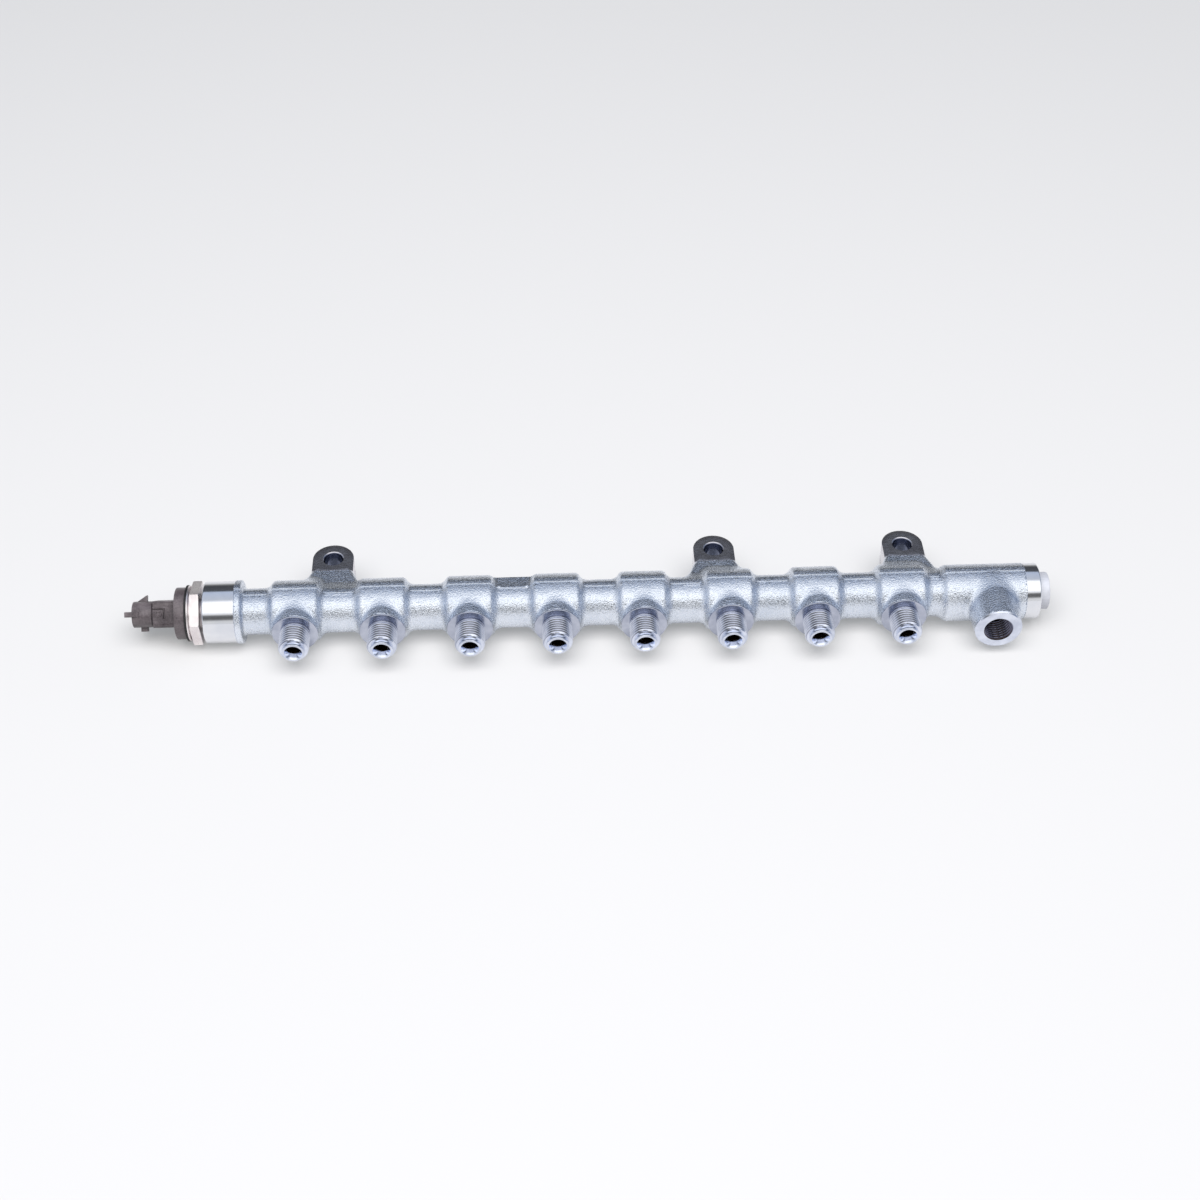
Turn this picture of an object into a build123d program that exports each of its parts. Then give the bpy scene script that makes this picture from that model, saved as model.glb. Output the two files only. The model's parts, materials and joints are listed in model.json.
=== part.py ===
from build123d import *
import os
from math import cos, radians, sin, sqrt, tan

# Eight-outlet high-pressure fuel rail for a common-rail engine, in millimetres.
# Row frame: +X runs along the rail from the pressure sensor to the end plug, the outlets
# point to -Y, the mounting lugs reach to +Y and +Z is up. The origin is on the bolt axis of
# the first lug, level with the rail's bore.

# ---------------------------------------------------------------- rail forging
outlet_count = 8
outlet_pitch = 40.5
outlet_x = [(i - (outlet_count - 1) / 2) * outlet_pitch for i in range(outlet_count)]

neck_radius = 10.8          # round neck between two outlet blocks
block_radius = 14.2         # round block that carries an outlet
block_width = 20.4          # at the block's crown
block_root_width = 25.2     # where the block runs out on the neck
crown_round = 1.0           # rounding of the forging's outer edges
root_round = 1.6            # and of its inner corners

spigot_radius = 14.5        # turned end that the sensor screws into
spigot_length = 14.65
spigot_chamfer = 0.8
shoulder_radius = 14.9      # raw ring behind the turned spigot
shoulder_width = 3.2
first_neck_length = 12.1    # shoulder to first block
port_neck_length = 5.7      # last block to the inlet section
port_section_radius = 13.35
port_section_length = 39.8
port_section_slope = 2.6    # length of the ramp up from the neck
tail_radius = 13.2          # turned end with the plug
tail_length = 6.9
tail_chamfer = 0.9

main_bore_radius = 5.0
sensor_thread_radius = 9.0
sensor_thread_depth = 14.4
sensor_thread_chamfer = 0.8
plug_thread_radius = 8.0
plug_thread_depth = 11.5
drill_point_angle = 118.0
overshoot = 1.0             # how far a cutter runs past the face it opens
foot_clearance = 1.2        # edges this near to the face of a boss, or this short, are not its foot

# flash land left along the die's parting line, top and bottom
land_width = 3.0
land_height = 0.35
land_offset = 0.9           # parting plane behind the rail's axis

# ---------------------------------------------------------------- outlets
boss_radius = 10.65         # turned edge of the boss around the nipple
boss_draft = 4.0
boss_face_reach = 16.1      # face to the rail's axis
boss_edge = 0.6
boss_root_fillet = 1.3
nipple_radius = 7.0         # major radius of the M14 x 1.5 outlet thread
relief_radius = 6.5
relief_length = 0.8
nipple_root_fillet = 0.4
thread_lead = 0.4
thread_end_reach = 26.6
thread_end_chamfer = 0.65   # down to the step behind the pilot
pilot_radius = 5.25
pilot_edge = 0.4
nose_reach = 29.1           # end face to the rail's axis
cone_mouth_radius = 4.2
cone_angle = 60.0
outlet_bore_radius = 2.3
outlet_drill_radius = 1.5
insert_seat_reach = 7.0     # step that the orifice insert is pressed against
insert_length = 5.0
insert_clearance = 0.02
orifice_radius = 0.45
orifice_chamfer = 0.7

# ---------------------------------------------------------------- inlet port
port_offset = 42.75         # from the last outlet
port_face_reach = 26.0
port_face_radius = 10.9
port_draft = 3.6
port_root_fillet = 2.2
port_edge = 0.6
port_thread_radius = 6.2    # core of the M14 x 1.5 inlet thread
port_thread_depth = 14.0
port_thread_chamfer = 0.4
port_cone_end_radius = 2.0
port_drill_radius = 1.75

# ---------------------------------------------------------------- mounting lugs
lug_outlet_count = (0, 5, 7)        # outlets to the left of each lug's own outlet
lug_shift = (16.05, -5.1, 4.65)     # lug to that outlet, along the rail
lug_x = [outlet_x[i] + shift for i, shift in zip(lug_outlet_count, lug_shift)]
lug_reach = 27.0            # bolt axis to the rail's axis
lug_end_radius = 9.75
lug_top = 8.0               # milled seat for the bolt head
lug_bottom = -4.0           # milled seat on the engine
lug_mill_front = 17.45      # milling starts this far behind the rail's axis
lug_forge_top = 9.3
lug_forge_bottom = -5.3
lug_root_width = 30.0
lug_root_reach = 4.5
lug_root_rise = 0.25        # extra thickness of the web at its root, each side
lug_web_round = 2.0
lug_hole_radius = 4.5
lug_hole_chamfer = 0.45

# flat forged pad behind one of the necks
pad_outlet_count = 3        # outlets to the left of the pad's neck
pad_top = 11.2
pad_reach = 7.4
pad_round = 0.8

# ---------------------------------------------------------------- pressure sensor
hex_across_flats = 26.0
hex_width = 4.3
hex_turn = 17.5             # one corner, from the outlets' direction upwards
hex_chamfer = 0.5
hex_gap = 1.45              # hex to spigot
waist_radius = 11.3
waist_width = 0.75
lip_radius = 13.0
lip_width = 1.15
lip_round = 0.5
stub_clearance = 0.1        # thread flank clearance, shown as a plain gap
stub_relief_radius = 7.4
stub_relief_length = 2.4
stub_lead = 0.8
stub_nose_radius = 6.2
stub_nose_length = 2.0
stub_passage_radius = 1.6
cup_radius = 10.4
cup_depth = 5.0
seal_outer_radius = 7.6
seal_inner_radius = 5.2
seal_thickness = 1.0

cell_radius = 4.6
cell_length = 7.4
cell_clearance = 0.03
cell_bore_radius = 1.6
membrane = 0.5
cell_cap_radius = 3.4
cell_cap_length = 1.2
cell_bevel = 1.0

support_height = 1.2
support_wall = 1.8
board_thickness = 1.2
cup_clearance = 0.15        # radial room of what sits in the cup
gasket_thickness = 0.65
gasket_inner_radius = 11.0
gasket_outer_radius = 13.2

# ---------------------------------------------------------------- sensor connector
flange_radius = 12.15
flange_length = 5.05
flange_edge = 0.4
skirt_wall = 1.5
skirt_room = 2.5            # how far the skirt's hollow reaches into the flange
connector_turn = 41.0       # main face, from the outlets' direction upwards
neck_length = 10.25
neck_height = 12.6
neck_depth = 16.0
neck_round = 2.2
joint_length = 0.4          # waist between neck and shroud
joint_inset = 0.9
shroud_length = 9.2
shroud_height = 12.1
shroud_depth = 17.0
shroud_wall = 1.3
socket_floor = 1.0
tongue_length = 3.2         # in front of the mouth
tongue_root = 3.6           # behind the mouth
tongue_width = 2.5
tongue_shift = 0.25
tongue_rise = 0.5           # above the shroud's face
latch_height = 3.05
latch_length = 5.6
latch_width = 2.4
latch_from_mouth = 0.7
rib_height = 2.0
rib_length = 3.25
rib_width = 3.0
rib_from_mouth = 3.05
tab_length = 5.0            # flat tab on the neck's main face, framed by a slot
tab_top = 2.2
tab_bottom = -2.1
tab_slot = 0.95
tab_slot_top = 0.55
tab_slot_depth = 0.8
ring_centre = 0.15          # round mark on the tab
ring_radius = 1.6
ring_inner_radius = 1.0
ring_height = 0.25
ring_from_neck_end = 2.7
face_groove_shift = 4.55    # wide groove along the neck's main face
face_groove_width = 1.9
face_groove_depth = 1.0
mould_line_shift = -4.7
mould_line_width = 0.4
mould_line_depth = 0.3
terminal_count = 3
terminal_pitch = 4.0
terminal_width = 1.2
terminal_thickness = 0.63
terminal_recess = 4.6       # tips to the shroud's mouth
terminal_taper = 0.25       # bevel of each tip

# ---------------------------------------------------------------- end plug
plug_head_radius = 8.8
plug_head_length = 4.9
plug_head_chamfer = 0.8
plug_thread_length = 9.0
plug_clearance = 0.1
plug_nose_length = 1.6
plug_socket_across = 8.0
plug_socket_depth = 5.5

# ---------------------------------------------------------------- stations along the rail
block_root = block_root_width / 2
shoulder_right = outlet_x[0] - block_root - first_neck_length
shoulder_left = shoulder_right - shoulder_width
spigot_face = shoulder_left - spigot_length
section_left = outlet_x[-1] + block_root + port_neck_length
section_right = section_left + port_section_length
tail_face = section_right + tail_length
port_x = outlet_x[-1] + port_offset

hex_right = spigot_face - hex_gap
hex_left = hex_right - hex_width
lip_left = hex_left - waist_width - lip_width
flange_right = lip_left - gasket_thickness
flange_left = flange_right - flange_length
neck_left = flange_left - neck_length
shroud_right = neck_left - joint_length
mouth = shroud_right - shroud_length
cup_floor = lip_left + cup_depth
board_right = cup_floor - support_height
board_left = board_right - board_thickness
terminal_tip_x = mouth + terminal_recess
seal_left = spigot_face + sensor_thread_depth - seal_thickness

# rail-axis coordinates to the row frame
row_frame = Location((-lug_x[0], -lug_reach, 0))


def save(part, name):
    """Write one finished piece in the row frame."""
    export_step(part.moved(row_frame), f"parts/{name}.step")


def turned(points, direction=Axis.X):
    """Solid of revolution about the rail's axis: points are (station, radius)."""
    outline = Polyline(*[(x, r, 0) for x, r in points], close=True)
    return revolve(make_face(outline), axis=direction)


def outlet_turned(points, x):
    """Solid of revolution about an outlet's axis: points are (reach, radius)."""
    outline = Polyline(*[(x + r, -reach, 0) for reach, r in points], close=True)
    return revolve(make_face(outline), axis=Axis((x, 0, 0), (0, 1, 0)))


def ring_x(x0, x1, outer, inner):
    """Plain ring about the rail's axis, from station x0 to x1."""
    return turned([(x0, inner), (x1, inner), (x1, outer), (x0, outer)])


def drill_x(x0, x1, radius):
    """Cylinder about the rail's axis, from station x0 to x1."""
    return turned([(x0, 0), (x1, 0), (x1, radius), (x0, radius)])


# ---------------------------------------------------------------- rail body
def raw_outline(extra=0.0):
    """Outline of the raw forging above the axis, each radius larger by extra."""
    crown = block_width / 2
    points = [(shoulder_left, shoulder_radius), (shoulder_right, shoulder_radius)]
    points.append((shoulder_right, neck_radius))
    for x in outlet_x:
        points += [(x - block_root, neck_radius), (x - crown, block_radius)]
        points += [(x + crown, block_radius), (x + block_root, neck_radius)]
    points.append((section_left, neck_radius))
    points.append((section_left + port_section_slope, port_section_radius))
    points.append((section_right, port_section_radius))
    return [(x, r + extra) for x, r in points]


def raw_face(extra=0.0):
    """Half section of the raw forging, its die edges rounded."""
    points = raw_outline(extra)
    rounds = [crown_round, root_round] + [root_round, crown_round, crown_round, root_round] * outlet_count
    rounds += [root_round, crown_round]
    top = FilletPolyline(*[(x, r, 0) for x, r in points], radius=rounds)
    start, end = points[0], points[-1]
    rest = Polyline((end[0], end[1], 0), (end[0], 0, 0), (start[0], 0, 0), (start[0], start[1], 0))
    return make_face(top + rest)


def flash_land():
    """Trimmed flash: a narrow flat rail along the forging's outline, top and bottom."""
    half = raw_face(land_height)
    upper = Rot(90, 0, 0) * half
    start = Pos(0, land_offset + land_width / 2, 0) * upper
    slab = extrude(start, amount=land_width, dir=(0, -1, 0))
    return slab + mirror(slab, about=Plane.XY)


def lug(x):
    """Forged web that flares to the rail, and the flat ear with its rounded end."""
    width = 2 * lug_end_radius
    height = lug_forge_top - lug_forge_bottom
    middle = (lug_forge_top + lug_forge_bottom) / 2
    tip = Plane(origin=(x, lug_mill_front, middle), x_dir=(1, 0, 0), z_dir=(0, 1, 0))
    root = Plane(origin=(x, lug_root_reach, middle), x_dir=(1, 0, 0), z_dir=(0, 1, 0))
    root_height = height + 2 * lug_root_rise
    web = loft([root * RectangleRounded(lug_root_width, root_height, lug_web_round),
                tip * RectangleRounded(width, height, lug_web_round)])
    ear = Pos(x, lug_reach, lug_bottom) * extrude(Circle(lug_end_radius), amount=lug_top - lug_bottom)
    depth = lug_reach - lug_mill_front
    block = Box(width, depth, lug_top - lug_bottom)
    block = Pos(x, lug_reach - depth / 2, (lug_top + lug_bottom) / 2) * block
    return web + ear + block


def lug_hole(x):
    """Bolt hole of a lug with its two chamfers."""
    c = lug_hole_chamfer
    r = lug_hole_radius
    low, high = lug_bottom - overshoot, lug_top + overshoot
    points = [(low, 0), (low, r + c), (lug_bottom, r + c), (lug_bottom + c, r),
              (lug_top - c, r), (lug_top, r + c), (high, r + c), (high, 0)]
    outline = Polyline(*[(x + radius, lug_reach, z) for z, radius in points], close=True)
    return revolve(make_face(outline), axis=Axis((x, lug_reach, 0), (0, 0, 1)))


def boss(x):
    """Drafted outlet boss with its turned end face."""
    base = boss_radius + boss_face_reach * tan(radians(boss_draft))
    points = [(0, 0), (0, base), (boss_face_reach - boss_edge, boss_radius),
              (boss_face_reach, boss_radius - boss_edge), (boss_face_reach, 0)]
    return outlet_turned(points, x)


def nipple(x):
    """Male outlet connection: root fillet, relief, chamfered thread cylinder and pilot."""
    relief_end = boss_face_reach + relief_length
    step = thread_end_reach + thread_end_chamfer
    f = nipple_root_fillet
    quarter_point = 1 - sqrt(0.5)      # middle of the fillet's quarter circle
    points = [(0, 0), (0, relief_radius + f), (boss_face_reach, relief_radius + f),
              (boss_face_reach + f * quarter_point, relief_radius + f * quarter_point),
              (boss_face_reach + f, relief_radius),
              (relief_end, relief_radius), (relief_end + thread_lead, nipple_radius),
              (thread_end_reach, nipple_radius), (step, nipple_radius - thread_end_chamfer),
              (step, pilot_radius), (nose_reach - pilot_edge, pilot_radius),
              (nose_reach, pilot_radius - pilot_edge), (nose_reach, 0)]
    return outlet_turned(points, x)


def outlet_bore(x):
    """Sealing cone, bore with the insert's seat, and drilling into the main bore."""
    cone_depth = (cone_mouth_radius - outlet_bore_radius) / tan(radians(cone_angle / 2))
    points = [(0, 0), (0, outlet_drill_radius), (insert_seat_reach, outlet_drill_radius),
              (insert_seat_reach, outlet_bore_radius), (nose_reach - cone_depth, outlet_bore_radius),
              (nose_reach, cone_mouth_radius), (nose_reach + overshoot, cone_mouth_radius),
              (nose_reach + overshoot, 0)]
    return outlet_turned(points, x)


def port_boss():
    """Large drafted boss of the inlet port."""
    base = port_face_radius + port_face_reach * tan(radians(port_draft))
    points = [(0, 0), (0, base), (port_face_reach - port_edge, port_face_radius),
              (port_face_reach, port_face_radius - port_edge), (port_face_reach, 0)]
    return outlet_turned(points, port_x)


def port_bore():
    """Chamfered thread core, sealing cone and drilling of the inlet port."""
    thread_end = port_face_reach - port_thread_depth
    cone_depth = (port_thread_radius - port_cone_end_radius) / tan(radians(cone_angle))
    mouth_radius = port_thread_radius + port_thread_chamfer
    points = [(0, 0), (0, port_drill_radius), (thread_end - cone_depth, port_drill_radius),
              (thread_end - cone_depth, port_cone_end_radius), (thread_end, port_thread_radius),
              (port_face_reach - port_thread_chamfer, port_thread_radius), (port_face_reach, mouth_radius),
              (port_face_reach + overshoot, mouth_radius), (port_face_reach + overshoot, 0)]
    return outlet_turned(points, port_x)


def root_edges(body, x, face_radius, face_reach):
    """Edges round the foot of the drafted boss at x."""
    edges = []
    for face in body.faces().filter_by(GeomType.CONE):
        box = face.bounding_box()
        if abs(box.center().X - x) < 1 and box.size.X > 2 * face_radius - 1:
            edges += [edge for edge in face.edges()
                      if -edge.bounding_box().min.Y < face_reach - foot_clearance
                      and edge.bounding_box().diagonal > foot_clearance]
    return edges


def marking_pad():
    """Flat pad that fills the top rear corner of one neck."""
    x0 = outlet_x[pad_outlet_count - 1] + block_width / 2
    x1 = outlet_x[pad_outlet_count] - block_width / 2
    pad = Pos((x0 + x1) / 2, pad_reach / 2, pad_top / 2) * Box(x1 - x0, pad_reach, pad_top)
    return fillet(pad.edges().filter_by(Axis.X).group_by(Axis.Z)[-1].sort_by(Axis.Y)[-1], pad_round)


def bores():
    """Everything bored along the rail's axis."""
    half_point = radians(drill_point_angle / 2)
    sensor_end = spigot_face + sensor_thread_depth
    plug_end = tail_face - plug_thread_depth
    plug_point = (plug_thread_radius - main_bore_radius) / tan(half_point)
    c = sensor_thread_chamfer
    left, right = spigot_face - overshoot, tail_face + overshoot
    points = [(left, 0), (left, sensor_thread_radius + c), (spigot_face, sensor_thread_radius + c),
              (spigot_face + c, sensor_thread_radius), (sensor_end, sensor_thread_radius),
              (sensor_end, main_bore_radius), (plug_end - plug_point, main_bore_radius),
              (plug_end, plug_thread_radius), (right, plug_thread_radius), (right, 0)]
    return turned(points)


def rail_body():
    c = spigot_chamfer
    t = tail_chamfer
    raw = revolve(raw_face(), axis=Axis.X)
    spigot = turned([(shoulder_left, 0), (shoulder_left, spigot_radius), (spigot_face + c, spigot_radius),
                     (spigot_face, spigot_radius - c), (spigot_face, 0)])
    tail = turned([(section_right, 0), (section_right, tail_radius), (tail_face - t, tail_radius),
                   (tail_face, tail_radius - t), (tail_face, 0)])
    body = raw
    for x in outlet_x:
        body += boss(x)
        body = body.fillet(boss_root_fillet, root_edges(body, x, boss_radius, boss_face_reach))
    body += port_boss()
    body = body.fillet(port_root_fillet, root_edges(body, port_x, port_face_radius, port_face_reach))
    body += flash_land() + spigot + tail + marking_pad()
    for x in lug_x:
        body += lug(x)
    for x in outlet_x:
        body += nipple(x)
    body -= bores()
    body -= port_bore()
    for x in lug_x:
        body -= lug_hole(x)
    for x in outlet_x:
        body -= outlet_bore(x)
    return body


def orifice_insert(x):
    """Pressed-in throttle: a sleeve with one small calibrated hole."""
    r = outlet_bore_radius - insert_clearance
    outer = insert_seat_reach + insert_length
    points = [(insert_seat_reach, orifice_radius), (insert_seat_reach, r), (outer, r),
              (outer, orifice_radius + orifice_chamfer), (outer - orifice_chamfer, orifice_radius)]
    return outlet_turned(points, x)


def end_plug():
    """Screw plug with a round head, a coned nose and a hexagon socket."""
    r = plug_thread_radius - plug_clearance
    nose = tail_face - plug_thread_length
    c = plug_head_chamfer
    head_face = tail_face + plug_head_length
    points = [(nose - plug_nose_length, 0), (nose - plug_nose_length, r - plug_nose_length), (nose, r),
              (tail_face, r), (tail_face, plug_head_radius), (head_face - c, plug_head_radius),
              (head_face, plug_head_radius - c), (head_face, 0)]
    socket_plane = Plane(origin=(head_face, 0, 0), x_dir=(0, 1, 0), z_dir=(1, 0, 0))
    hexagon = RegularPolygon(plug_socket_across / 2, 6, major_radius=False)
    return turned(points) - extrude(socket_plane * hexagon, amount=-plug_socket_depth)


# ---------------------------------------------------------------- pressure sensor
def sensor_body():
    """Steel body: threaded stub, hexagon, waist, rounded lip and open cup."""
    stub_r = sensor_thread_radius - stub_clearance
    stub_end = seal_left
    relief_end = hex_right + stub_relief_length
    core = turned([(lip_left, 0), (lip_left, waist_radius), (hex_right, waist_radius),
                   (hex_right, stub_relief_radius), (relief_end, stub_relief_radius),
                   (relief_end + stub_lead, stub_r), (stub_end - stub_nose_length, stub_r),
                   (stub_end, stub_nose_radius), (stub_end, 0)])
    lip = ring_x(lip_left, lip_left + lip_width, lip_radius, cup_radius)
    lip_edges = lip.edges().filter_by(GeomType.CIRCLE).group_by(SortBy.RADIUS)[-1]
    lip = fillet(lip_edges, lip_round)
    turn = radians(hex_turn)
    hex_plane = Plane(origin=(hex_left, 0, 0), x_dir=(0, -cos(turn), sin(turn)), z_dir=(1, 0, 0))
    hexagon = RegularPolygon(hex_across_flats / 2, 6, major_radius=False)
    hexagon = extrude(hex_plane * hexagon, amount=hex_width)
    corner = hex_across_flats / sqrt(3)
    bevel = hex_chamfer * tan(radians(30))
    rounding = turned([(hex_left, 0), (hex_left, corner - hex_chamfer), (hex_left + bevel, corner),
                       (hex_right - bevel, corner), (hex_right, corner - hex_chamfer), (hex_right, 0)])
    cell_seat = cup_floor + cell_length
    left, right = lip_left - overshoot, stub_end + overshoot
    cup = turned([(left, 0), (left, cup_radius), (cup_floor, cup_radius),
                  (cup_floor, cell_radius), (cell_seat, cell_radius), (cell_seat, stub_passage_radius),
                  (right, stub_passage_radius), (right, 0)])
    return core + lip + (hexagon & rounding) - cup


def pressure_cell():
    """Steel cell with a thin membrane over the pressure passage."""
    seat = cup_floor + cell_length
    face = cup_floor - cell_cap_length
    r = cell_radius - cell_clearance
    return turned([(seat, cell_bore_radius), (seat, r), (cup_floor + cell_bevel, r),
                   (cup_floor, cell_cap_radius), (face, cell_cap_radius), (face, 0),
                   (face + membrane, 0), (face + membrane, cell_bore_radius)])


def sensor_seal():
    """Soft iron ring between the sensor's nose and the step in the rail."""
    return ring_x(seal_left, seal_left + seal_thickness, seal_outer_radius, seal_inner_radius)


def board_support():
    """Insulating ring that carries the circuit board above the cup's floor."""
    outer = cup_radius - cup_clearance
    return ring_x(board_right, cup_floor, outer, outer - support_wall)


def circuit_board():
    """Round conditioning board."""
    return drill_x(board_left, board_right, cup_radius - cup_clearance)


def sensor_gasket():
    """Flat rubber ring between the plastic flange and the steel lip."""
    return ring_x(flange_right, lip_left, gasket_outer_radius, gasket_inner_radius)


# Connector frame: local x runs across the connector's main face, local y out of that face
# and the extrusions run towards the mouth, to -X.
def connector_plane(station):
    turn = radians(connector_turn)
    out_of_face = Vector(0, -cos(turn), sin(turn))
    toward_mouth = Vector(-1, 0, 0)
    across = out_of_face.cross(toward_mouth)
    return Plane(origin=(station, 0, 0), x_dir=across, z_dir=toward_mouth)


def along(sketch, station, length):
    """Extrude a sketch in the connector's frame from a station towards the mouth."""
    return extrude(connector_plane(station) * sketch, amount=length)


def shroud_outline(inset):
    """Rounded oblong, its long side out of the connector's main face."""
    return SlotOverall(shroud_depth - 2 * inset, shroud_height - 2 * inset, rotation=90)


def latch_ramp():
    """Wedge on the upper side of the shroud that the mating plug snaps over."""
    root = shroud_height / 2 - shroud_wall / 2
    top = shroud_height / 2 + latch_height
    low = mouth + latch_from_mouth
    high = low + latch_length
    plane = connector_plane(0)
    points = [(root, low), (top, high), (root, high)]
    corners = [plane.from_local_coords((-side, -latch_width / 2, -x)) for side, x in points]
    face = make_face(Polyline(*corners, close=True))
    return extrude(face, amount=latch_width, dir=plane.y_dir)


def face_cut(low, high, x0, x1, depth):
    """Cutter in the neck's main face between two heights and two stations."""
    cut = Pos(-(low + high) / 2, neck_depth / 2) * Rectangle(high - low, 2 * depth)
    return along(cut, x1, x1 - x0)


def ring_mark():
    """Low round mark with a dished middle, on the neck's tab."""
    plane = connector_plane(neck_left + ring_from_neck_end)
    centre = plane.from_local_coords((-ring_centre, neck_depth / 2, 0))
    plane = Plane(origin=centre, x_dir=(1, 0, 0), z_dir=connector_plane(0).y_dir)
    return extrude(plane * (Circle(ring_radius) - Circle(ring_inner_radius)), amount=ring_height)


def connector_housing():
    """Plastic flange and skirt, blocky neck and oval shroud with its latch, rib and tongue."""
    skirt_radius = cup_radius - cup_clearance
    flange = turned([(flange_right, 0), (flange_right, flange_radius - flange_edge),
                     (flange_right - flange_edge, flange_radius), (flange_left + flange_edge, flange_radius),
                     (flange_left, flange_radius - flange_edge), (flange_left, 0)])
    skirt = drill_x(flange_right, board_left, skirt_radius)
    neck = along(RectangleRounded(neck_height, neck_depth, neck_round), flange_left, neck_length)
    joint = along(shroud_outline(joint_inset), neck_left, joint_length)
    shroud = along(shroud_outline(0), shroud_right, shroud_length)
    tongue_thickness = shroud_wall + tongue_rise
    tongue_middle = shroud_depth / 2 + tongue_rise - tongue_thickness / 2
    tongue = along(Pos(-tongue_shift, tongue_middle) * Rectangle(tongue_width, tongue_thickness),
                   mouth + tongue_root, tongue_root + tongue_length)
    rib_middle = (shroud_height - shroud_wall + rib_height) / 2
    rib = along(Pos(rib_middle, 0) * Rectangle(rib_height + shroud_wall, rib_width),
                mouth + rib_from_mouth + rib_length, rib_length)
    solid = flange + skirt + neck + joint + shroud + tongue + rib + latch_ramp() + ring_mark()

    tab_end = neck_left + tab_length
    floor = shroud_right - socket_floor
    solid -= drill_x(board_left, flange_right - skirt_room, skirt_radius - skirt_wall)
    solid -= along(shroud_outline(shroud_wall), floor, floor - mouth + overshoot)
    solid -= face_cut(tab_top, tab_top + tab_slot_top, neck_left, tab_end + tab_slot, tab_slot_depth)
    solid -= face_cut(tab_bottom, tab_top + tab_slot_top, tab_end, tab_end + tab_slot, tab_slot_depth)
    groove = face_groove_width / 2
    solid -= face_cut(face_groove_shift - groove, face_groove_shift + groove, neck_left, flange_left,
                      face_groove_depth)
    line = mould_line_width / 2
    solid -= face_cut(mould_line_shift - line, mould_line_shift + line, neck_left, flange_left,
                      mould_line_depth)
    for y in terminal_places():
        slit = Pos(0, y) * Rectangle(terminal_thickness, terminal_width)
        solid -= along(slit, board_left, board_left - floor + overshoot)
    return solid


def terminal_places():
    middle = (terminal_count - 1) / 2
    return [(i - middle) * terminal_pitch for i in range(terminal_count)]


def terminal(y):
    """Flat contact blade from the circuit board into the socket."""
    section = Pos(0, y) * Rectangle(terminal_thickness, terminal_width)
    blade = along(section, board_left, board_left - terminal_tip_x)
    tip = blade.faces().sort_by(Axis.X)[0]
    return chamfer(tip.edges().sort_by(SortBy.LENGTH)[-2:], terminal_taper)


def main():
    os.makedirs("parts", exist_ok=True)
    save(rail_body(), "rail_body")
    for i, x in enumerate(outlet_x):
        save(orifice_insert(x), f"orifice_insert_{i + 1}")
    save(end_plug(), "end_plug")
    save(sensor_body(), "sensor_body")
    save(pressure_cell(), "pressure_cell")
    save(sensor_seal(), "sensor_seal")
    save(board_support(), "board_support")
    save(circuit_board(), "circuit_board")
    save(sensor_gasket(), "sensor_gasket")
    save(connector_housing(), "connector_housing")
    for i, y in enumerate(terminal_places()):
        save(terminal(y), f"terminal_{i + 1}")


main()
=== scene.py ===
import json
import math
import bmesh
import bpy
import numpy as np
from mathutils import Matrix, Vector


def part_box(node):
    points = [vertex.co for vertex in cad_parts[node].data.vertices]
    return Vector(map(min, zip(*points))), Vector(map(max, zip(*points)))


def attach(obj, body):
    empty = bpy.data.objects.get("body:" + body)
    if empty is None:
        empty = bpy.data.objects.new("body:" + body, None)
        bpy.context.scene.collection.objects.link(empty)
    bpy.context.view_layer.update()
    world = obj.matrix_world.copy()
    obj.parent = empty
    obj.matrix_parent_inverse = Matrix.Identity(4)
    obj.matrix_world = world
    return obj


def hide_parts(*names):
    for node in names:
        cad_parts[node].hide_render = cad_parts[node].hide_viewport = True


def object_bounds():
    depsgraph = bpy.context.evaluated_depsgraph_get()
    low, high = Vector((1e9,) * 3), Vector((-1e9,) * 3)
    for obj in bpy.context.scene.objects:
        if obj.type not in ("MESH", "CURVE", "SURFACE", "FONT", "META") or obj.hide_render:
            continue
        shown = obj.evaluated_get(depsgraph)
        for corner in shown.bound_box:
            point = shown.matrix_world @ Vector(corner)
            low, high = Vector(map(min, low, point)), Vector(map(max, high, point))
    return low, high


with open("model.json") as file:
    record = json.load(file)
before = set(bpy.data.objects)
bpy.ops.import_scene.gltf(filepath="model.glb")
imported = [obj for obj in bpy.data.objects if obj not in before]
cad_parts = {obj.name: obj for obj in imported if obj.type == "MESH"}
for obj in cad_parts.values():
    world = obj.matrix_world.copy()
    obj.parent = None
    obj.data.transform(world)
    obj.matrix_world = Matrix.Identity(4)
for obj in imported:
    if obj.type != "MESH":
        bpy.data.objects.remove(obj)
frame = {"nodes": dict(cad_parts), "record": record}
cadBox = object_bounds()
mm = 0.001

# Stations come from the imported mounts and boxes, in millimetres. x is the frame's own, and y and z
# are measured from the rail's bore, which runs along x.
mountAt = {row["name"]: np.array(row["pos_m"]) / mm for row in frame["record"]["mounts"]}
boreY = mountAt["sensor_connector"][1]
outletX = np.array([mountAt[name][0] for name in sorted(mountAt) if name.startswith("outlet_")])
lugX = [mountAt[name][0] for name in ("lug_1", "lug_2", "lug_3")]
lugReach = mountAt["lug_1"][1] - boreY
inletX = mountAt["inlet"][0]
pitch = outletX[1] - outletX[0]
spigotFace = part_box("rail_body")[0].x / mm
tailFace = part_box("rail_body")[1].x / mm


def gridFaces(rows, columns, closeRows=False):
    # Quads between neighbouring rows and columns of a grid whose columns run round and close.
    row = np.arange(rows if closeRows else rows - 1)[:, None]
    column = np.arange(columns)[None, :]
    nextRow, nextColumn = (row + 1) % rows, (column + 1) % columns
    corners = [row * columns + column, row * columns + nextColumn,
               nextRow * columns + nextColumn, nextRow * columns + column]
    return np.stack([np.broadcast_to(c, (len(row), columns)) for c in corners], axis=-1).reshape(-1, 4)


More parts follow.
